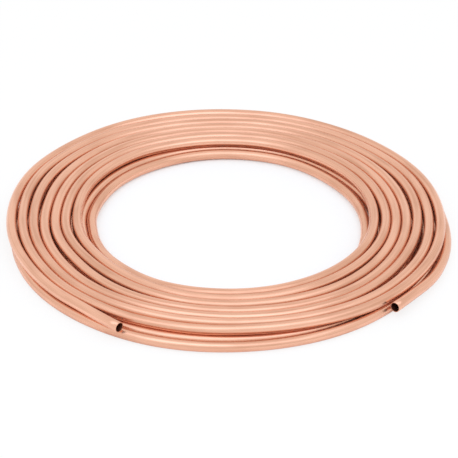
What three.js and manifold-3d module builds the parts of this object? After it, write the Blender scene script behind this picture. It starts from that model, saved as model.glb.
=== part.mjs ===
// Copper tube coil: one length of soft 3/8 in tube wound flat in two layers, both ends free.
// Millimetres, +Z up, the coil lies on z = 0. Angles are degrees, counter-clockwise from above, 0 along +X.
//
// The close-wound pack is one turned solid: two rows of round turns on a common web, so each turn
// shows as a ridge on the top, the underside and both walls. Three lengths of tube that leave the
// pack are swept along their own paths and joined to it: the loop inside the bore that climbs from
// the floor layer to the top layer, and the two free ends with their open mouths.
import * as THREE from "three";
import { mergeVertices } from "three/addons/utils/BufferGeometryUtils.js";
import Module from "manifold-3d";

// ---- driving sizes ----
const TUBE_OD = 9.525; // 3/8 in soft tube
const TUBE_WALL = 0.81; // 0.032 in
const TURN_PITCH = 10.0; // from one turn to the next in a layer
const FIRST_RADIUS = 141.2; // centre line of the innermost full turn
const FLOOR_TURNS = 7;
const TOP_TURNS = 6;
const WEB_HALF = 1.2; // half thickness of the web between neighbouring turns of a row
const FOOT_HALF = 1.2; // half width of the flat on which each floor turn rests
const BORE_DEPTH = 24.0; // how far each mouth is opened
const SEGMENTS = 48; // round the pack
const LOOP_SIDES = 12;
const END_SIDES = 16;

// ---- derived sizes ----
const R = TUBE_OD / 2;
const FLOOR_Z = R;
const TOP_Z = R + TUBE_OD;
const LAST_FLOOR = FIRST_RADIUS + TURN_PITCH * (FLOOR_TURNS - 1);
const LAST_TOP = FIRST_RADIUS + TURN_PITCH * (TOP_TURNS - 1);
const SNUG = TUBE_OD - 0.25; // centre distance of a swept turn that beds into its neighbour
const LOW_Z = FLOOR_Z + 0.3; // the swept floor lengths hang just clear of what the pack stands on

const rad = (deg) => (deg * Math.PI) / 180;

// ---- joining solids ----
const wasm = await Module();
wasm.setup();

function solidOf(geometry) {
  const bare = geometry.clone();
  bare.deleteAttribute("normal");
  bare.deleteAttribute("uv");
  const merged = mergeVertices(bare, 1e-4);
  return new wasm.Manifold(
    new wasm.Mesh({
      numProp: 3,
      vertProperties: new Float32Array(merged.attributes.position.array),
      triVerts: new Uint32Array(merged.index.array),
    }),
  );
}

function geometryOf(solid) {
  const mesh = solid.getMesh();
  const geometry = new THREE.BufferGeometry();
  geometry.setAttribute("position", new THREE.BufferAttribute(new Float32Array(mesh.vertProperties), 3));
  geometry.setIndex(new THREE.BufferAttribute(new Uint32Array(mesh.triVerts), 1));
  const faceted = geometry.toNonIndexed();
  faceted.computeVertexNormals();
  return faceted;
}

// ---- the close-wound pack ----
// Points of one turn's section, from angle a to angle b about its centre.
function arc(radius, z, a, b, count) {
  return Array.from({ length: count + 1 }, (_, i) => {
    const t = rad(a + ((b - a) * i) / count);
    return [radius + R * Math.cos(t), z + R * Math.sin(t)];
  });
}

// The flat-footed underside of one floor turn, between the webs on its two sides.
function foot(radius) {
  const side = Math.sqrt(R * R - WEB_HALF * WEB_HALF);
  return [
    [radius - side, FLOOR_Z - WEB_HALF],
    [radius - FOOT_HALF, 0],
    [radius + FOOT_HALF, 0],
    [radius + side, FLOOR_Z - WEB_HALF],
  ];
}

// Half section of the pack, counter-clockwise with the radius to the right and z up.
function packProfile() {
  const web = (Math.asin(WEB_HALF / R) * 180) / Math.PI;
  const lean = 45; // where the wall of a top turn meets the wall of a floor turn
  const under = Array.from({ length: FLOOR_TURNS }, (_, k) => foot(FIRST_RADIUS + TURN_PITCH * k));
  const outerFloor = arc(LAST_FLOOR, FLOOR_Z, 0, 180 - lean, 4);
  const outerTop = arc(LAST_TOP, TOP_Z, -lean, 180 - web, 6);
  const ridges = [];
  for (let k = TOP_TURNS - 2; k > 0; k -= 1) {
    ridges.push(...arc(FIRST_RADIUS + TURN_PITCH * k, TOP_Z, web, 180 - web, 5));
  }
  const innerTop = arc(FIRST_RADIUS, TOP_Z, web, 225, 6);
  const innerFloor = arc(FIRST_RADIUS, FLOOR_Z, 135, 180, 2);
  const points = [...under.flat(), ...outerFloor, ...outerTop, ...ridges, ...innerTop, ...innerFloor];
  return [...points, points[0]].map(([x, z]) => new THREE.Vector2(x, z));
}

function pack() {
  const geometry = new THREE.LatheGeometry(packProfile(), SEGMENTS);
  geometry.rotateX(Math.PI / 2);
  const turned = solidOf(geometry);
  if (turned.volume() > 0) return turned;
  return solidOf(new THREE.LatheGeometry(packProfile().reverse(), SEGMENTS).rotateX(Math.PI / 2));
}

// ---- lengths of tube that leave the pack ----
// Each station is [angle, radius, height] of the centre line.
function centreLine(stations) {
  const points = stations.map(
    ([angle, radius, z]) => new THREE.Vector3(radius * Math.cos(rad(angle)), radius * Math.sin(rad(angle)), z),
  );
  return new THREE.CatmullRomCurve3(points, false, "centripetal");
}

function ring(sides) {
  const turn = (i) => (2 * Math.PI * i) / sides;
  return new THREE.Shape(
    Array.from({ length: sides }, (_, i) => new THREE.Vector2(R * Math.cos(turn(i)), R * Math.sin(turn(i)))),
  );
}

function swept(curve, sides, steps) {
  return solidOf(new THREE.ExtrudeGeometry(ring(sides), { steps, extrudePath: curve, bevelEnabled: false }));
}

// A free end: the swept length with its mouth opened along the last straight step.
function openEnd(stations, steps) {
  const curve = centreLine(stations);
  const line = curve.getSpacedPoints(steps);
  const mouth = line[steps];
  const along = mouth.clone().sub(line[steps - 1]).normalize();
  const reach = BORE_DEPTH + TUBE_OD;
  const drill = new THREE.CylinderGeometry(R - TUBE_WALL, R - TUBE_WALL, reach, 24);
  drill.applyQuaternion(new THREE.Quaternion().setFromUnitVectors(new THREE.Vector3(0, 1, 0), along));
  const centre = mouth.clone().addScaledVector(along, reach / 2 - BORE_DEPTH);
  drill.translate(centre.x, centre.y, centre.z);
  return { body: swept(curve, END_SIDES, steps), drill: solidOf(drill) };
}

// The innermost turn: out of the floor layer, round the bore, and up on to the top layer.
function climbingLoop() {
  const snug = FIRST_RADIUS - SNUG;
  const free = snug - 3.2; // where the loop stands a little clear of the turn outside it
  const stations = [
    [-52, FIRST_RADIUS + 0.8, LOW_Z + 0.8],
    [-32, FIRST_RADIUS - 5, LOW_Z],
    [-10, free + 0.8, LOW_Z],
    [15, free, LOW_Z],
    [40, free + 1.8, LOW_Z],
    [65, snug, LOW_Z],
    [95, snug, LOW_Z],
    [125, snug, LOW_Z],
    [150, snug - 1, LOW_Z],
    [178, free, LOW_Z],
    [195, free - 0.6, LOW_Z + 0.14 * TUBE_OD],
    [210, free - 0.2, LOW_Z + 0.4 * TUBE_OD],
    [225, free + 0.8, LOW_Z + 0.68 * TUBE_OD],
    [242, snug - 1, LOW_Z + 0.9 * TUBE_OD],
    [260, snug, TOP_Z],
    [300, snug + 0.4, TOP_Z],
    [335, FIRST_RADIUS - 6.5, TOP_Z],
    [362, FIRST_RADIUS - 4, TOP_Z],
    [384, FIRST_RADIUS - 1.2, TOP_Z - 0.2],
    [402, FIRST_RADIUS + 0.8, TOP_Z - 0.9],
  ];
  return swept(centreLine(stations), LOOP_SIDES, 58);
}

// The outermost top turn, which lies on the floor layer's last turn and springs out at its end.
function topEnd() {
  const snug = LAST_TOP + SNUG;
  const stations = [
    [-58, LAST_TOP - 0.6, TOP_Z - 0.9],
    [-38, LAST_TOP + 2, TOP_Z - 0.2],
    [-18, LAST_TOP + 5.8, TOP_Z],
    [5, snug - 0.8, TOP_Z],
    [40, snug, TOP_Z],
    [90, snug, TOP_Z],
    [140, snug, TOP_Z],
    [190, snug, TOP_Z],
    [215, snug, TOP_Z],
    [227, snug + 1.1, TOP_Z],
    [235, snug + 3.6, TOP_Z],
    [243, snug + 8.9, TOP_Z],
  ];
  return openEnd(stations, 40);
}

// The start of the floor layer, which springs out and climbs the shoulder of the turn inside it.
function floorEnd() {
  const stations = [
    [48, LAST_FLOOR - 0.8, LOW_Z + 0.6],
    [24, LAST_FLOOR - 0.2, LOW_Z],
    [2, LAST_FLOOR + 2.2, LOW_Z],
    [-14, LAST_FLOOR + 4.9, LOW_Z + 0.9],
    [-27, LAST_FLOOR + 6.1, LOW_Z + 2.4],
    [-36, LAST_FLOOR + 5.9, LOW_Z + 4.0],
    [-45.3, LAST_FLOOR + 8.2, LOW_Z + 5.9],
  ];
  return openEnd(stations, 12);
}

// ---- the coil ----
function coil() {
  const top = topEnd();
  const floor = floorEnd();
  let solid = pack().add(climbingLoop());
  solid = solid.add(top.body).add(floor.body);
  return solid.subtract(top.drill).subtract(floor.drill);
}

const copper = new THREE.MeshStandardMaterial({ color: 0xdf9f80, roughness: 0.34, metalness: 1.0 });
const tube = new THREE.Mesh(geometryOf(coil()), copper);
tube.name = "tube_coil";

// The origin goes under the middle of the coil's own box.
tube.geometry.computeBoundingBox();
const box = tube.geometry.boundingBox;
tube.geometry.translate(-(box.min.x + box.max.x) / 2, -(box.min.y + box.max.y) / 2, 0);

const group = new THREE.Group();
group.name = "copper_tube_coil";
group.add(tube);

export default group;
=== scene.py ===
"""Copper tube coil: one length of soft 3/8 in tube wound flat in two layers, with both ends free.

Lengths are metres, +Z is up and the coil lies on z = 0. "Turns out" counts whole turns along the tube
from the place inside the bore where it climbs from the floor layer to the top layer.
"""

import math

import bmesh
import bpy
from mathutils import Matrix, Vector


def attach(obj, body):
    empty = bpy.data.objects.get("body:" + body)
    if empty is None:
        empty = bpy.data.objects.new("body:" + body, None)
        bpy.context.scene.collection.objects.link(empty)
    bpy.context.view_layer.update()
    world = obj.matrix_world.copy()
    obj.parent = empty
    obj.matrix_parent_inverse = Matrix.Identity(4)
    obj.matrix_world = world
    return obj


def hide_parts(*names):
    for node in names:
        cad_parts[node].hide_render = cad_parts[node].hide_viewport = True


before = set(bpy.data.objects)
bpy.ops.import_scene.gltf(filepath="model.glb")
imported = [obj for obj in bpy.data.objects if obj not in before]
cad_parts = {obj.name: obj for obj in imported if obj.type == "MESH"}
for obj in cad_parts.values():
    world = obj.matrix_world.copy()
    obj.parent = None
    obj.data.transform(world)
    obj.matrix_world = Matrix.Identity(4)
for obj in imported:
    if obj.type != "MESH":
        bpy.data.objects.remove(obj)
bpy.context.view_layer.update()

bl_info = {
    "name": "Copper Tube Coil",
    "version": (1, 0, 0),
    "blender": (4, 5, 0),
    "location": "View3D > Sidebar > Coil",
    "description": "Winds a two-layer coil of soft copper tube and its studio stage",
    "category": "Add Mesh",
}

MM = 0.001

# ---- sizes and colours as made ----
TUBE_DIAMETER = 9.525 * MM
TUBE_WALL = 0.81 * MM
TURN_GAP = 0.025 * MM
FLOOR_RADIUS = 121.5 * MM
TOP_RADIUS = 124.3 * MM
FLOOR_TURNS = 7.640
TOP_TURNS = 7.1606
LOOSENESS = 1.0
STEPS_PER_TURN = 132
SIDES = 28
COPPER = (0.865, 0.488, 0.342)
TARNISH = (0.65, 0.341, 0.222)
# The bore's colour is darker than the copper's own: painted shade inside the tube.
BORE_PAINTED_SHADE = (0.14, 0.044, 0.026)
STUDIO_FLOOR = (0.97, 0.97, 0.97)

# ---- how the coil was wound ----
# Each turn beds on the one inside it. Where the tube sprang back before the next turn was laid it
# left a gap, and every later turn goes round that gap: (turns out, opening in mm, length in turns).
# A negative opening takes back a part of the gap beside it.
TOP_SPRINGS = (
    (0.025, 3.2, 0.045),
    (0.035, -1.2, 0.027),
    (0.15, 2.5, 0.045),
    (0.21, 4.5, 0.055),
    (0.28, 4.0, 0.055),
    (0.35, 4.3, 0.055),
    (0.42, 5.0, 0.055),
    (0.49, 4.6, 0.055),
    (0.56, 6.9, 0.055),
    (0.63, 7.7, 0.055),
    (0.70, 10.7, 0.055),
    (0.77, 11.0, 0.055),
    (0.84, 14.0, 0.055),
    (0.91, 10.9, 0.055),
    (0.98, 5.4, 0.055),
    (1.035, 1.2, 0.027),
    (1.09, 2.6, 0.05),
    (1.47, 1.5, 0.06),
    (2.02, 1.5, 0.06),
    (2.35, 3.0, 0.06),
    (3.13, 3.0, 0.06),
    (3.28, 1.0, 0.06),
    (3.35, 1.5, 0.06),
    (4.08, 3.3, 0.06),
    (4.54, 2.2, 0.055),
    (4.93, 2.5, 0.06),
    (5.35, 1.6, 0.045),
    (5.425, 3.3, 0.055),
    (5.94, 1.4, 0.06),
    (6.49, 1.3, 0.05),
    (6.78, 1.4, 0.06),
    (6.99, 1.0, 0.06),
)
FLOOR_SPRINGS = (
    (0.02, 5.4, 0.058),
    (0.125, 10.4, 0.082),
    (0.24, 11.5, 0.08),
    (0.34, 7.0, 0.07),
    (0.45, 2.5, 0.06),
    (0.55, 1.0, 0.06),
    (0.64, 6.0, 0.07),
    (0.74, 7.0, 0.08),
    (0.84, 8.0, 0.08),
    (0.925, 4.3, 0.045),
    (0.981, 0.6, 0.014),
    (1.0, -0.25, 0.02),
    (1.28, 1.4, 0.12),
    (1.55, 2.0, 0.08),
    (1.895, 1.9, 0.045),
    (2.28, 1.2, 0.12),
    (2.72, 4.8, 0.09),
    (2.97, 3.5, 0.06),
    (3.28, 0.9, 0.12),
    (3.52, 3.3, 0.08),
    (3.86, 3.0, 0.05),
    (4.28, 0.7, 0.12),
    (4.66, 3.8, 0.08),
    (4.90, 1.8, 0.055),
    (4.95, 2.4, 0.06),
    (5.50, 0.7, 0.08),
    (5.81, 4.3, 0.06),
    (6.57, 3.4, 0.05),
    (6.80, 0.8, 0.16),
    (6.96, 1.25, 0.03),
    (7.59, 0.95, 0.016),
)
CLIMB_ANGLE = 185.0  # degrees round the coil where the tube leaves the floor
CLIMB_LENGTH = 0.235  # turns from the floor layer to the top layer
SETTLE = 1.3 * MM  # how far the last top turns sink between the floor turns, at the far side
SETTLE_AT = 0.72  # turns out
SETTLE_LENGTH = 0.21  # turns
SETTLE_TURNS = (1.0, 6.6)  # turns out between which this grows to its full depth
NEST = 0.95 * MM  # how far the first top turns lie down between the floor turns, next to that
NEST_AT = 0.89  # turns out
NEST_LENGTH = 0.10  # turns
NEST_TURNS = (1.8, 4.8)  # turns out between which this dies away
# The last top turn sinks where the floor layer leaves it room, at the back and the front:
# (starts and is full, starts to rise and is back up, all in turns out, depth in mm).
SINKS = (
    (6.12, 6.165, 6.20, 6.26, 1.4),
    (6.80, 6.87, 6.93, 7.01, 1.2),
)
# The free ends: how far each leaves its turn, over how many turns, and by what power of the way.
TOP_FLARE = 10.0 * MM  # the top end, which is straight, stands out from the turn inside it
TOP_FLARE_LENGTH = 0.046
TOP_FLARE_POWER = 1.7
FLOOR_FLARE = 2.75 * MM  # the floor end does the same
FLOOR_FLARE_LENGTH = 0.0275
FLOOR_FLARE_POWER = 2.0
FLOOR_LIFT = 6.2 * MM  # and it climbs the shoulder of the turn inside it
FLOOR_LIFT_LENGTH = 0.12
FLOOR_LIFT_POWER = 1.5
FOOT = 0.01  # turns: rounds off the count of turns out where it starts, at the climb's foot
HAND_OVER = 0.03  # turns each side of the climb's foot over which one layer's radius becomes the other's
REAM_WIDTH = 0.28 * MM  # the burr is reamed off the inner edge of each mouth
REAM_DEPTH = 0.35 * MM
TUBE_COORDINATES = "straight"  # where a point of the surface lies when the tube is laid out straight

# ---- how the copper looks ----
METAL = 0.92  # the rest is the dull film on it
COPPER_ROUGHNESS = 0.22
BORE_ROUGHNESS = 0.4
# What each pattern adds: ((its value where that starts, its value where that is full), how much).
DULL_PATCHES = ((0.4, 0.7), 0.45)  # tarnish in patches
DULL_LINES = ((0.4, 0.65), 0.55)  # tarnish in lines along the tube
ROUGH_PATCHES = ((0.3, 0.7), 0.06)  # roughness in patches
ROUGH_STREAKS = ((0.3, 0.7), 0.05)  # roughness in the fine streaks
# Relief, finest first: (pattern, strength, depth).
RELIEF = (
    ("Streaks", 0.25, 0.03 * MM),
    ("Lines", 1.0, 0.1 * MM),
    ("Waves", 0.5, 0.2 * MM),
)

# ---- the studio ----
GAP_BOUNCES = 10  # light goes this many times from turn to turn in the narrow gaps
LAMP_COLOUR = (0.9, 1.07, 1.37)  # cool daylight
# Each lamp faces the coil: (name, place, width, depth, power in watts).
LAMPS = (
    ("overhead_lamp", (0.0, -0.65, 1.46), 2.4, 1.56, 5.3),
    ("strip_lamp", (0.0, -0.8, 1.386), 2.0, 0.5, 1.25),
)
FLOOR_HALF = 3.0  # half the side of the floor
FLOOR_ROUGHNESS = 0.9
FLOOR_IN_METAL = 0.05  # white that the floor gives off where the metal mirrors it
# The white studio light washes out the floor's shadow: how much of the floor's own light is left,
# and how much white is laid over it, in the bore and outside the coil.
BORE_SHADE = (0.55, 0.405)
OUTER_SHADE = (0.18, 0.806)
WHITE_FROM = (0.3, 0.6)  # metres from the middle over which the floor turns plain white
UNDER = (133 * MM, 199 * MM)  # radii between which the floor lies under the turns and keeps its shadow
DEEP_UNDER = (136 * MM, 197 * MM)  # radii between which only light passed on by the copper gets there; the floor is painted with shade there
PAINTED_SHADE_BROWN = (0.55, 0.26, 0.14)  # painted shade: the brown given to the floor there, for its shade and the copper-coloured light on it
SHADE_EDGE = 3 * MM  # width over which these fade
MIDDLE = (-1.24 * MM, 0.0, 0.0)  # the middle of the bore
CAMERA_RISE = 31.2  # degrees above the floor
CAMERA_DISTANCE = 2.5
CAMERA_AIM = 1.9 * MM  # height of the point that the camera looks at
CAMERA_REACH = 50.0  # how far the camera sees
SENSOR_WIDTH = 36.0  # mm
FOCAL_PIXELS = 2662.5  # focal length, in pixels of a picture that is this many wide:
FRAME_PIXELS = 458


# ---- sizes and colours a user would change ----
class CoilSizes(bpy.types.PropertyGroup):
    """How the tube is made and wound"""

    tube_diameter: bpy.props.FloatProperty(
        name="Tube Diameter",
        description="Outside diameter of the tube",
        default=TUBE_DIAMETER,
        min=1 * MM,
        precision=5,
        subtype="DISTANCE",
        unit="LENGTH",
    )
    tube_wall: bpy.props.FloatProperty(
        name="Tube Wall",
        description="Thickness of the tube's wall",
        default=TUBE_WALL,
        min=0.1 * MM,
        precision=5,
        subtype="DISTANCE",
        unit="LENGTH",
    )
    turn_gap: bpy.props.FloatProperty(
        name="Turn Gap",
        description="Gap between two turns that bed on each other",
        default=TURN_GAP,
        min=0.0,
        precision=6,
        subtype="DISTANCE",
        unit="LENGTH",
    )
    floor_radius: bpy.props.FloatProperty(
        name="Floor Radius",
        description="Radius at which the floor layer would start with no springs",
        default=FLOOR_RADIUS,
        min=10 * MM,
        precision=4,
        subtype="DISTANCE",
        unit="LENGTH",
    )
    top_radius: bpy.props.FloatProperty(
        name="Top Radius",
        description="Radius at which the top layer would start with no springs",
        default=TOP_RADIUS,
        min=10 * MM,
        precision=4,
        subtype="DISTANCE",
        unit="LENGTH",
    )
    floor_turns: bpy.props.FloatProperty(
        name="Floor Turns",
        description="Turns in the floor layer, out to its free end",
        default=FLOOR_TURNS,
        min=1.0,
        precision=3,
    )
    top_turns: bpy.props.FloatProperty(
        name="Top Turns",
        description="Turns in the top layer, out to its free end",
        default=TOP_TURNS,
        min=1.0,
        precision=3,
    )
    looseness: bpy.props.FloatProperty(
        name="Looseness",
        description="How far the turns have sprung apart, 1 as wound and 0 tight",
        default=LOOSENESS,
        min=0.0,
        soft_max=1.5,
        subtype="FACTOR",
    )
    steps_per_turn: bpy.props.IntProperty(
        name="Steps per Turn",
        description="How finely the tube follows its path",
        default=STEPS_PER_TURN,
        min=24,
    )
    sides: bpy.props.IntProperty(
        name="Sides",
        description="Faces round the tube",
        default=SIDES,
        min=8,
    )


class CoilColours(bpy.types.PropertyGroup):
    """The colours of the copper and of the studio floor"""

    copper: bpy.props.FloatVectorProperty(
        name="Copper",
        description="Colour of the bright copper",
        default=COPPER,
        subtype="COLOR",
        min=0.0,
        max=1.0,
    )
    tarnish: bpy.props.FloatVectorProperty(
        name="Tarnish",
        description="Colour of the copper where it has dulled",
        default=TARNISH,
        subtype="COLOR",
        min=0.0,
        max=1.0,
    )
    # Painted shade: the bore is coloured darker than copper, for the shade inside the tube.
    bore: bpy.props.FloatVectorProperty(
        name="Bore",
        description="Colour of the dull copper inside the tube",
        default=BORE_PAINTED_SHADE,
        subtype="COLOR",
        min=0.0,
        max=1.0,
    )
    floor: bpy.props.FloatVectorProperty(
        name="Floor",
        description="Colour of the studio floor",
        default=STUDIO_FLOOR,
        subtype="COLOR",
        min=0.0,
        max=1.0,
    )


# ---- arithmetic with sockets ----
class Value:
    """A number in a node tree, so that a rule can be written as plain arithmetic."""

    def __init__(self, tree, socket):
        self.tree = tree
        self.socket = socket

    def _apply(self, operation, *others):
        node = self.tree.nodes.new("ShaderNodeMath")
        node.operation = operation
        for slot, value in zip(node.inputs, (self, *others)):
            if isinstance(value, Value):
                self.tree.links.new(value.socket, slot)
            else:
                slot.default_value = value
        return Value(self.tree, node.outputs[0])

    def __add__(self, other):
        return self._apply("ADD", other)

    def __sub__(self, other):
        return self._apply("SUBTRACT", other)

    def __mul__(self, other):
        return self._apply("MULTIPLY", other)

    def __truediv__(self, other):
        return self._apply("DIVIDE", other)

    def __neg__(self):
        return self * -1.0

    def power(self, exponent):
        return self._apply("POWER", exponent)

    def over(self, other):
        """1 where this is more than the other, and 0 elsewhere."""
        return self._apply("GREATER_THAN", other)

    def rounded(self):
        return self._apply("ROUND")

    def exp(self):
        return self._apply("EXPONENT")

    def cos(self):
        return self._apply("COSINE")

    def sin(self):
        return self._apply("SINE")

    def ramp(self, start, end, smooth=False):
        """0 at start, 1 at end, and held at both."""
        node = self.tree.nodes.new("ShaderNodeMapRange")
        node.interpolation_type = "SMOOTHSTEP" if smooth else "LINEAR"
        self.tree.links.new(self.socket, node.inputs["Value"])
        for name, value in (("From Min", start), ("From Max", end)):
            if isinstance(value, Value):
                self.tree.links.new(value.socket, node.inputs[name])
            else:
                node.inputs[name].default_value = value
        return Value(self.tree, node.outputs["Result"])


def node_tree(name, kind, inputs, outputs):
    """A new node group, the values of its named inputs, and its output node."""
    tree = bpy.data.node_groups.new(name, kind)
    number_sockets = {int: "NodeSocketInt", float: "NodeSocketFloat"}
    for label, value in inputs.items():
        socket_type = number_sockets.get(type(value), "NodeSocketVector")
        made = tree.interface.new_socket(label, in_out="INPUT", socket_type=socket_type)
        made.default_value = value
    for label, socket_type in outputs.items():
        tree.interface.new_socket(label, in_out="OUTPUT", socket_type=socket_type)
    entry = tree.nodes.new("NodeGroupInput")
    values = {label: Value(tree, entry.outputs[label]) for label in inputs}
    return tree, values, tree.nodes.new("NodeGroupOutput")


def combined(tree, x, y, z):
    """A vector socket made of three numbers."""
    node = tree.nodes.new("ShaderNodeCombineXYZ")
    for slot, value in zip(node.inputs, (x, y, z)):
        if isinstance(value, Value):
            tree.links.new(value.socket, slot)
        else:
            slot.default_value = value
    return node.outputs[0]


# ---- the winding rule ----
def spring_group():
    """How far one gap pushes out the tube, at any place along it."""
    tree, given, out = node_tree(
        "Spring",
        "GeometryNodeTree",
        {"Turns Out": 0.0, "At": 0.0, "Opening": 0.0, "Length": 0.1},
        {"Push": "NodeSocketFloat"},
    )
    # The push comes back at the same place of every later turn, and starts half a turn before the gap.
    past = given["Turns Out"] - given["At"]
    offset = (past - past.rounded()) / given["Length"]
    push = given["Opening"] * (-(offset * offset)).exp() * past.over(-0.5)
    tree.links.new(push.socket, out.inputs["Push"])
    return tree


def sprung(tree, spring, turns_out, at, opening, length):
    """One spring, placed in a tree with its own values."""
    node = tree.nodes.new("GeometryNodeGroup")
    node.node_tree = spring
    tree.links.new(turns_out.socket, node.inputs["Turns Out"])
    node.inputs["At"].default_value = at
    node.inputs["Opening"].default_value = opening
    node.inputs["Length"].default_value = length
    return Value(tree, node.outputs["Push"])


def layer_radius(tree, spring, turns_out, start, step, looseness, springs):
    """Radius of one layer: a tight spiral, and the push of every gap inside this place."""
    push = None
    for at, opening, length in springs:
        one = sprung(tree, spring, turns_out, at, opening * MM, length)
        push = one if push is None else push + one
    return start + step * turns_out + push * looseness


def sunk(along):
    """How deep this point of the last top turn has sunk."""
    total = None
    for starts, full, leaves, ends, depth in SINKS:
        down = along.ramp(starts, full, smooth=True)
        not_yet_up = (-along).ramp(-ends, -leaves, smooth=True)
        one = down * not_yet_up * (depth * MM)
        total = one if total is None else total + one
    return total


def wound_path(tree, given, count):
    """The tube's centre line by the winding rule, as a curve of so many steps."""
    new, link = tree.nodes.new, tree.links.new
    line = new("GeometryNodeMeshLine")
    link((count + 1.0).socket, line.inputs["Count"])
    path = new("GeometryNodeMeshToCurve")
    link(line.outputs["Mesh"], path.inputs["Mesh"])

    # Where this point lies along the tube: negative on the floor layer, positive on the top one.
    index = Value(tree, new("GeometryNodeInputIndex").outputs[0])
    floor_turns, top_turns = given["Floor Turns"], given["Top Turns"]
    along = index / count * (floor_turns + top_turns) - floor_turns
    turns_out = (along * along + FOOT * FOOT).power(0.5)

    diameter, loose = given["Tube Diameter"], given["Looseness"]
    step = diameter + given["Turn Gap"]
    spring = spring_group()
    floor = layer_radius(tree, spring, turns_out, given["Floor Radius"], step, loose, FLOOR_SPRINGS)
    top = layer_radius(tree, spring, turns_out, given["Top Radius"], step, loose, TOP_SPRINGS)
    top_end = along.ramp(top_turns - TOP_FLARE_LENGTH, top_turns)
    floor_end = (-along).ramp(floor_turns - FLOOR_FLARE_LENGTH, floor_turns)
    raised_end = (-along).ramp(floor_turns - FLOOR_LIFT_LENGTH, floor_turns)
    lift = raised_end.power(FLOOR_LIFT_POWER) * FLOOR_LIFT
    lean = step - (step * step - lift * lift).power(0.5)
    floor = floor - lean + floor_end.power(FLOOR_FLARE_POWER) * FLOOR_FLARE
    top = top + top_end.power(TOP_FLARE_POWER) * TOP_FLARE
    on_top = along.ramp(-HAND_OVER, HAND_OVER, smooth=True)
    radius = floor + (top - floor) * on_top

    climb = along.ramp(0.0, CLIMB_LENGTH, smooth=True)
    outer = turns_out.ramp(*SETTLE_TURNS)
    settle = outer * sprung(tree, spring, turns_out, SETTLE_AT, SETTLE, SETTLE_LENGTH)
    inner = (-turns_out).ramp(-NEST_TURNS[1], -NEST_TURNS[0])
    nest = inner * sprung(tree, spring, turns_out, NEST_AT, NEST, NEST_LENGTH)
    height = diameter * 0.5 + climb * (diameter - settle - nest - sunk(along)) + lift

    angle = along * math.tau + math.radians(CLIMB_ANGLE)
    wound = new("GeometryNodeSetPosition")
    link(path.outputs["Curve"], wound.inputs["Geometry"])
    link(combined(tree, radius * angle.cos(), radius * angle.sin(), height), wound.inputs["Position"])
    link(given["Middle"].socket, wound.inputs["Offset"])
    level = new("GeometryNodeSetCurveNormal")
    level.mode = "Z_UP"
    link(wound.outputs["Geometry"], level.inputs["Curve"])
    return level.outputs["Curve"]


def winding_tree(outside, inside):
    """The whole tube: its path by the winding rule, its outer skin and its bore."""
    sizes = {
        "Tube Diameter": TUBE_DIAMETER,
        "Tube Wall": TUBE_WALL,
        "Turn Gap": TURN_GAP,
        "Floor Radius": FLOOR_RADIUS,
        "Top Radius": TOP_RADIUS,
        "Floor Turns": FLOOR_TURNS,
        "Top Turns": TOP_TURNS,
        "Looseness": LOOSENESS,
        "Steps per Turn": STEPS_PER_TURN,
        "Sides": SIDES,
        "Middle": MIDDLE,
    }
    outputs = {"Geometry": "NodeSocketGeometry"}
    tree, given, out = node_tree("Wound Tube", "GeometryNodeTree", sizes, outputs)
    new, link = tree.nodes.new, tree.links.new
    count = ((given["Floor Turns"] + given["Top Turns"]) * given["Steps per Turn"]).rounded()
    path = wound_path(tree, given, count)
    outer_radius = given["Tube Diameter"] * 0.5
    outer = tube_skin(tree, path, outer_radius, given["Sides"])

    # The bore has half as many steps, and its faces look inwards.
    coarse = new("GeometryNodeResampleCurve")
    link(path, coarse.inputs["Curve"])
    link((count * 0.5).rounded().socket, coarse.inputs["Count"])
    bore_radius = outer_radius - given["Tube Wall"]
    bore = tube_skin(tree, coarse.outputs["Curve"], bore_radius, given["Sides"])
    turned = new("GeometryNodeFlipFaces")
    link(bore, turned.inputs["Mesh"])
    both = new("GeometryNodeJoinGeometry")
    link(turned.outputs["Mesh"], both.inputs[0])
    link(outer, both.inputs[0])
    whole = new("GeometryNodeRealizeInstances")
    link(both.outputs[0], whole.inputs["Geometry"])
    smooth = new("GeometryNodeSetShadeSmooth")
    link(whole.outputs["Geometry"], smooth.inputs["Geometry"])
    bright = new("GeometryNodeSetMaterial")
    bright.inputs["Material"].default_value = outside
    link(smooth.outputs["Geometry"], bright.inputs["Geometry"])

    # What lies nearer the tube's centre line than the middle of its wall is the bore.
    place = new("GeometryNodeInputNamedAttribute")
    place.data_type = "FLOAT_VECTOR"
    place.inputs["Name"].default_value = TUBE_COORDINATES
    apart = new("ShaderNodeSeparateXYZ")
    link(place.outputs["Attribute"], apart.inputs[0])
    across, around = Value(tree, apart.outputs["X"]), Value(tree, apart.outputs["Y"])
    from_centre = (across * across + around * around).power(0.5)
    mid_wall = bore_radius + given["Tube Wall"] * 0.5
    dull = new("GeometryNodeSetMaterial")
    dull.inputs["Material"].default_value = inside
    link(mid_wall.over(from_centre).socket, dull.inputs["Selection"])
    link(bright.outputs["Geometry"], dull.inputs["Geometry"])
    link(dull.outputs["Geometry"], out.inputs["Geometry"])
    return tree


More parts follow.
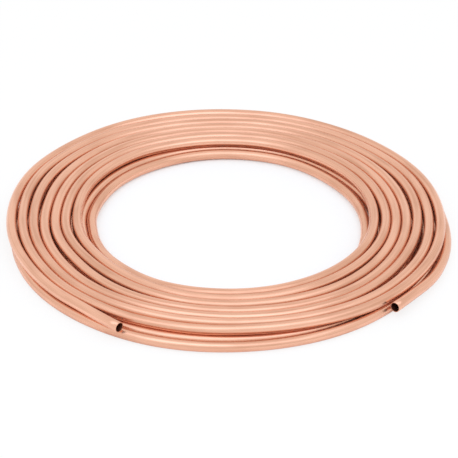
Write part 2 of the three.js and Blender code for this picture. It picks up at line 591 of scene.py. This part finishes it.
def tube_skin(tree, curve, radius, sides):
    """A round skin along a curve, which keeps each point's place on the tube laid out straight."""
    new, link = tree.nodes.new, tree.links.new
    distance = new("GeometryNodeCaptureAttribute")
    distance.domain = "POINT"
    distance.capture_items.new("FLOAT", "Distance")
    link(curve, distance.inputs["Geometry"])
    link(new("GeometryNodeSplineParameter").outputs["Length"], distance.inputs["Distance"])
    circle = new("GeometryNodeCurvePrimitiveCircle")
    link(sides.socket, circle.inputs["Resolution"])
    link(radius.socket, circle.inputs["Radius"])
    around = new("GeometryNodeCaptureAttribute")
    around.domain = "POINT"
    around.capture_items.new("VECTOR", "Around")
    link(circle.outputs["Curve"], around.inputs["Geometry"])
    link(new("GeometryNodeInputPosition").outputs[0], around.inputs["Around"])
    skin = new("GeometryNodeCurveToMesh")
    link(distance.outputs["Geometry"], skin.inputs["Curve"])
    link(around.outputs["Geometry"], skin.inputs["Profile Curve"])
    apart = new("ShaderNodeSeparateXYZ")
    link(around.outputs["Around"], apart.inputs[0])
    straight = combined(
        tree,
        Value(tree, apart.outputs["X"]),
        Value(tree, apart.outputs["Y"]),
        Value(tree, distance.outputs["Distance"]),
    )
    stored = new("GeometryNodeStoreNamedAttribute")
    stored.data_type = "FLOAT_VECTOR"
    stored.domain = "POINT"
    stored.inputs["Name"].default_value = TUBE_COORDINATES
    link(skin.outputs["Mesh"], stored.inputs["Geometry"])
    link(straight, stored.inputs["Value"])
    return stored.outputs["Geometry"]


def plain_mesh(name, tree, values):
    """Runs a tree once with the given input values and keeps what it makes as a plain mesh."""
    holder = bpy.data.objects.new(name + "_holder", bpy.data.meshes.new(name + "_holder"))
    bpy.context.scene.collection.objects.link(holder)
    modifier = holder.modifiers.new("Wind", "NODES")
    modifier.node_group = tree
    for item in tree.interface.items_tree:
        if item.item_type == "SOCKET" and item.in_out == "INPUT" and item.name in values:
            modifier[item.identifier] = values[item.name]
    graph = bpy.context.evaluated_depsgraph_get()
    mesh = bpy.data.meshes.new_from_object(
        holder.evaluated_get(graph), preserve_all_data_layers=True, depsgraph=graph
    )
    holder.modifiers.remove(modifier)
    bpy.data.objects.remove(holder, do_unlink=True)
    mesh.name = name
    made = bpy.data.objects.new(name, mesh)
    bpy.context.scene.collection.objects.link(made)
    return made


# ---- the cut ends ----
def ring_of(edge, unused):
    """The closed ring of boundary edges that one edge belongs to."""
    ring = [edge]
    unused.discard(edge)
    queue = [edge]
    while queue:
        for vert in queue.pop().verts:
            for other in vert.link_edges:
                if other in unused:
                    unused.discard(other)
                    ring.append(other)
                    queue.append(other)
    return ring


def cut_lips(tube, outer_radius, bore_radius):
    """Closes the metal between skin and bore at each mouth: a flat cut, and a reamed inner edge."""
    bm = bmesh.new()
    bm.from_mesh(tube.data)
    unused = {edge for edge in bm.edges if edge.is_boundary}
    rings = []
    while unused:
        ring = ring_of(next(iter(unused)), unused)
        verts = {vert for edge in ring for vert in edge.verts}
        centre = sum((vert.co for vert in verts), Vector()) / len(verts)
        rings.append((ring, verts, centre))
    mid_wall = (bore_radius + outer_radius) * 0.5
    bores = [item for item in rings if (next(iter(item[1])).co - item[2]).length < mid_wall]
    skins = [item for item in rings if item not in bores]
    if len(bores) != 2 or len(skins) != 2:
        raise RuntimeError("the tube does not have two open ends")
    for bore, verts, centre in bores:
        skin = min(skins, key=lambda item: (item[2] - centre).length)[0]
        steps_in = [far.co - vert.co for vert in verts for far in deeper(vert, verts)]
        into = sum(steps_in, Vector()).normalized()
        reamed = bmesh.ops.extrude_edge_only(bm, edges=bore)["geom"]
        for vert in verts:
            vert.co += into * REAM_DEPTH
        lip = [item for item in reamed if isinstance(item, bmesh.types.BMEdge) and item.is_boundary]
        for vert in {vert for edge in lip for vert in edge.verts}:
            vert.co += (vert.co - centre).normalized() * REAM_WIDTH
        bmesh.ops.bridge_loops(bm, edges=lip + skin)
    bmesh.ops.recalc_face_normals(bm, faces=bm.faces)
    bm.to_mesh(tube.data)
    bm.free()


def deeper(vert, ring):
    """The points next to one point of a ring that are not on the ring."""
    return [edge.other_vert(vert) for edge in vert.link_edges if edge.other_vert(vert) not in ring]


# ---- materials ----
def streak_group():
    """Fine lines drawn along the tube by its die, and the slower changes of its surface."""
    tree, given, out = node_tree(
        "Drawn Copper",
        "ShaderNodeTree",
        {"Streaks Across": 2600.0, "Lines Across": 520.0, "Streak Length": 9.0, "Patch Size": 22.0},
        {
            "Streaks": "NodeSocketFloat",
            "Lines": "NodeSocketFloat",
            "Patches": "NodeSocketFloat",
            "Waves": "NodeSocketFloat",
        },
    )
    new, link = tree.nodes.new, tree.links.new
    place = new("ShaderNodeAttribute")
    place.attribute_name = TUBE_COORDINATES

    def noise(scale_across, scale_along, detail, rough=0.5):
        stretch = new("ShaderNodeVectorMath")
        stretch.operation = "MULTIPLY"
        link(place.outputs["Vector"], stretch.inputs[0])
        link(combined(tree, scale_across, scale_across, scale_along), stretch.inputs[1])
        node = new("ShaderNodeTexNoise")
        node.inputs["Scale"].default_value = 1.0
        node.inputs["Detail"].default_value = detail
        node.inputs["Roughness"].default_value = rough
        link(stretch.outputs[0], node.inputs["Vector"])
        return node.outputs["Fac"]

    # Each pattern is longer along the tube than round it, and the lines are longer than the streaks.
    fine, long, patch = given["Streaks Across"], given["Streak Length"], given["Patch Size"]
    link(noise(fine, long, detail=3.0, rough=0.6), out.inputs["Streaks"])
    link(noise(given["Lines Across"], long * 0.4, detail=2.0), out.inputs["Lines"])
    link(noise(patch * 8.0, patch, detail=2.0), out.inputs["Patches"])
    link(noise(patch * 5.0, patch * 2.5, detail=1.0), out.inputs["Waves"])
    return tree


def copper_material(name, bright, dull, roughness, streaks):
    """Drawn copper that goes from a bright colour to a dull one in patches and lines."""
    material = bpy.data.materials.new(name)
    material.use_nodes = True
    tree = material.node_tree
    new, link = tree.nodes.new, tree.links.new
    shader = tree.nodes["Principled BSDF"]
    shader.inputs["Metallic"].default_value = METAL
    shader.inputs["Specular IOR Level"].default_value = 0.0
    drawn = new("ShaderNodeGroup")
    drawn.node_tree = streaks
    streaky = Value(tree, drawn.outputs["Streaks"])
    lines = Value(tree, drawn.outputs["Lines"])
    patches = Value(tree, drawn.outputs["Patches"])

    mix = new("ShaderNodeMix")
    mix.data_type = "RGBA"
    factor, first, second = mix.inputs[0], mix.inputs[6], mix.inputs[7]
    first.default_value = (*bright, 1.0)
    second.default_value = (*dull, 1.0)
    in_patches = patches.ramp(*DULL_PATCHES[0], smooth=True) * DULL_PATCHES[1]
    dulled = in_patches + lines.ramp(*DULL_LINES[0]) * DULL_LINES[1]
    link(dulled.socket, factor)
    link(mix.outputs[2], shader.inputs["Base Color"])
    in_patches = patches.ramp(*ROUGH_PATCHES[0]) * ROUGH_PATCHES[1]
    rough = in_patches + streaky.ramp(*ROUGH_STREAKS[0]) * ROUGH_STREAKS[1] + roughness
    link(rough.socket, shader.inputs["Roughness"])

    normal = None
    for pattern, strength, depth in RELIEF:
        bump = new("ShaderNodeBump")
        bump.inputs["Strength"].default_value = strength
        bump.inputs["Distance"].default_value = depth
        link(drawn.outputs[pattern], bump.inputs["Height"])
        if normal is not None:
            link(normal, bump.inputs["Normal"])
        normal = bump.outputs["Normal"]
    link(normal, shader.inputs["Normal"])
    return material


# ---- the stage ----
def floor_material(colour):
    """A pale floor that shows as white to the camera and in the metal, still takes a shadow, and has
    shade painted brown on it deep under the turns.
    """
    material = bpy.data.materials.new("studio_floor")
    material.use_nodes = True
    tree = material.node_tree
    new, link = tree.nodes.new, tree.links.new
    shader = tree.nodes["Principled BSDF"]
    shader.inputs["Roughness"].default_value = FLOOR_ROUGHNESS
    shader.inputs["Specular IOR Level"].default_value = 0.0
    shader.inputs["Emission Color"].default_value = (1.0, 1.0, 1.0, 1.0)
    rays = new("ShaderNodeLightPath")
    in_metal = Value(tree, rays.outputs["Is Glossy Ray"])
    link((in_metal * FLOOR_IN_METAL).socket, shader.inputs["Emission Strength"])

    # Where this point lies: inside the coil, outside it, far away, or deep under the turns, where shade
    # is painted brown on the floor.
    place = new("ShaderNodeTexCoord")
    apart = new("ShaderNodeSeparateXYZ")
    link(place.outputs["Object"], apart.inputs[0])
    x, y = Value(tree, apart.outputs["X"]), Value(tree, apart.outputs["Y"])
    from_middle = (x * x + y * y).power(0.5)
    in_bore = (-from_middle).ramp(-UNDER[0] - SHADE_EDGE, -UNDER[0])
    outside = from_middle.ramp(UNDER[1], UNDER[1] + SHADE_EDGE)
    far = from_middle.ramp(*WHITE_FROM)
    past_bore = from_middle.ramp(DEEP_UNDER[0], DEEP_UNDER[0] + SHADE_EDGE)
    deep = past_bore * (-from_middle).ramp(-DEEP_UNDER[1], -DEEP_UNDER[1] + SHADE_EDGE)

    # Painted shade: deep under the turns the floor is coloured brown, for the shade and the
    # copper-coloured light there.
    painted_shade_tint = new("ShaderNodeCombineColor")
    for channel, pale, shade_brown in zip(("Red", "Green", "Blue"), colour, PAINTED_SHADE_BROWN):
        link((deep * (shade_brown - pale) + pale).socket, painted_shade_tint.inputs[channel])
    link(painted_shade_tint.outputs[0], shader.inputs["Base Color"])

    # Only the camera sees a share of the floor's own light taken off, and white laid over it.
    seen = Value(tree, rays.outputs["Is Camera Ray"])
    bore_left, bore_white = BORE_SHADE
    outer_left, outer_white = OUTER_SHADE
    taken = in_bore * (1.0 - bore_left) + outside * (1.0 - outer_left) + far * outer_left
    given = in_bore * bore_white + outside * outer_white + far * (1.0 - outer_white)
    faded = new("ShaderNodeMixShader")
    link((seen * taken).socket, faded.inputs[0])
    link(shader.outputs[0], faded.inputs[1])
    white = new("ShaderNodeEmission")
    link((seen * given).socket, white.inputs["Strength"])
    both = new("ShaderNodeAddShader")
    link(faded.outputs[0], both.inputs[0])
    link(white.outputs[0], both.inputs[1])
    link(both.outputs[0], tree.nodes["Material Output"].inputs["Surface"])
    return material


def studio_world(scene):
    """An even white light from all round."""
    world = bpy.data.worlds.new("studio")
    world.use_nodes = True
    scene.world = world
    back = world.node_tree.nodes["Background"]
    back.inputs["Color"].default_value = (1.0, 1.0, 1.0, 1.0)
    back.inputs["Strength"].default_value = 1.0


def soft_lamp(name, place, width, depth, power):
    """A flat lamp that faces the coil."""
    lamp = bpy.data.lights.new(name, "AREA")
    lamp.shape = "RECTANGLE"
    lamp.size = width
    lamp.size_y = depth
    lamp.energy = power
    lamp.color = LAMP_COLOUR
    holder = bpy.data.objects.new(name, lamp)
    holder.location = place
    holder.rotation_euler = (-Vector(place)).to_track_quat("-Z", "Y").to_euler()
    bpy.context.scene.collection.objects.link(holder)


def studio_camera(scene):
    """A long lens in front of the coil, looking down at it."""
    lens = bpy.data.cameras.new("studio_camera")
    lens.sensor_width = SENSOR_WIDTH
    lens.lens = FOCAL_PIXELS * SENSOR_WIDTH / FRAME_PIXELS
    lens.clip_end = CAMERA_REACH
    holder = bpy.data.objects.new("studio_camera", lens)
    rise = math.radians(CAMERA_RISE)
    back, up = CAMERA_DISTANCE * math.cos(rise), CAMERA_DISTANCE * math.sin(rise)
    holder.location = Vector((MIDDLE[0], -back, up))
    aim = Vector((MIDDLE[0], 0.0, CAMERA_AIM))
    holder.rotation_euler = (aim - holder.location).to_track_quat("-Z", "Y").to_euler()
    scene.collection.objects.link(holder)
    scene.camera = holder


# ---- operators ----
class COIL_OT_tube(bpy.types.Operator):
    """Winds the copper tube and cuts its two ends"""

    bl_idname = "coil.tube"
    bl_label = "Wind the Tube"

    def execute(self, context):
        sizes = context.scene.coil_sizes
        colours = context.scene.coil_colours
        streaks = streak_group()
        copper, tarnish, bore = colours.copper, colours.tarnish, colours.bore
        bright = copper_material("bright_copper", copper, tarnish, COPPER_ROUGHNESS, streaks)
        # The bore's material carries a colour darkened as painted shade inside the tube.
        dull = copper_material("bore_copper_painted_shade", bore, bore, BORE_ROUGHNESS, streaks)
        tree = winding_tree(bright, dull)
        tube = plain_mesh(
            "copper_tube",
            tree,
            {
                "Tube Diameter": sizes.tube_diameter,
                "Tube Wall": sizes.tube_wall,
                "Turn Gap": sizes.turn_gap,
                "Floor Radius": sizes.floor_radius,
                "Top Radius": sizes.top_radius,
                "Floor Turns": sizes.floor_turns,
                "Top Turns": sizes.top_turns,
                "Looseness": sizes.looseness,
                "Steps per Turn": sizes.steps_per_turn,
                "Sides": sizes.sides,
                "Middle": MIDDLE,
            },
        )
        if not tube.data.polygons:
            raise RuntimeError("the winding made no tube")
        outer_radius = sizes.tube_diameter * 0.5
        cut_lips(tube, outer_radius, outer_radius - sizes.tube_wall)
        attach(tube, "root")
        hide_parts("tube_coil")
        return {"FINISHED"}


class COIL_OT_stage(bpy.types.Operator):
    """Sets the pale studio floor, the soft lights and the camera"""

    bl_idname = "coil.stage"
    bl_label = "Set the Stage"

    def execute(self, context):
        scene = context.scene
        floor = bpy.data.objects.new("studio_floor", bpy.data.meshes.new("studio_floor"))
        half = FLOOR_HALF
        corners = [(-half, -half, 0.0), (half, -half, 0.0), (half, half, 0.0), (-half, half, 0.0)]
        floor.data.from_pydata(corners, [], [(0, 1, 2, 3)])
        scene.collection.objects.link(floor)
        floor.data.materials.append(floor_material(scene.coil_colours.floor))
        studio_world(scene)
        for lamp in LAMPS:
            soft_lamp(*lamp)
        studio_camera(scene)
        return {"FINISHED"}


class COIL_PT_panel(bpy.types.Panel):
    """The coil's sizes, colours and steps"""

    bl_label = "Copper Tube Coil"
    bl_idname = "COIL_PT_panel"
    bl_space_type = "VIEW_3D"
    bl_region_type = "UI"
    bl_category = "Coil"

    def draw(self, context):
        layout = self.layout
        for group in (context.scene.coil_sizes, context.scene.coil_colours):
            column = layout.column(align=True)
            for name in group.__annotations__:
                column.prop(group, name)
        layout.operator(COIL_OT_tube.bl_idname)
        layout.operator(COIL_OT_stage.bl_idname)


CLASSES = (CoilSizes, CoilColours, COIL_OT_tube, COIL_OT_stage, COIL_PT_panel)


def register():
    for one in CLASSES:
        bpy.utils.register_class(one)
    bpy.types.Scene.coil_sizes = bpy.props.PointerProperty(type=CoilSizes)
    bpy.types.Scene.coil_colours = bpy.props.PointerProperty(type=CoilColours)


def unregister():
    del bpy.types.Scene.coil_colours
    del bpy.types.Scene.coil_sizes
    for one in reversed(CLASSES):
        bpy.utils.unregister_class(one)


def main():
    """Makes the coil and its stage."""
    register()
    bpy.context.scene.view_settings.view_transform = "Standard"
    bpy.context.scene.cycles.glossy_bounces = GAP_BOUNCES
    bpy.ops.coil.tube()
    bpy.ops.coil.stage()


if __name__ == "__main__":
    main()
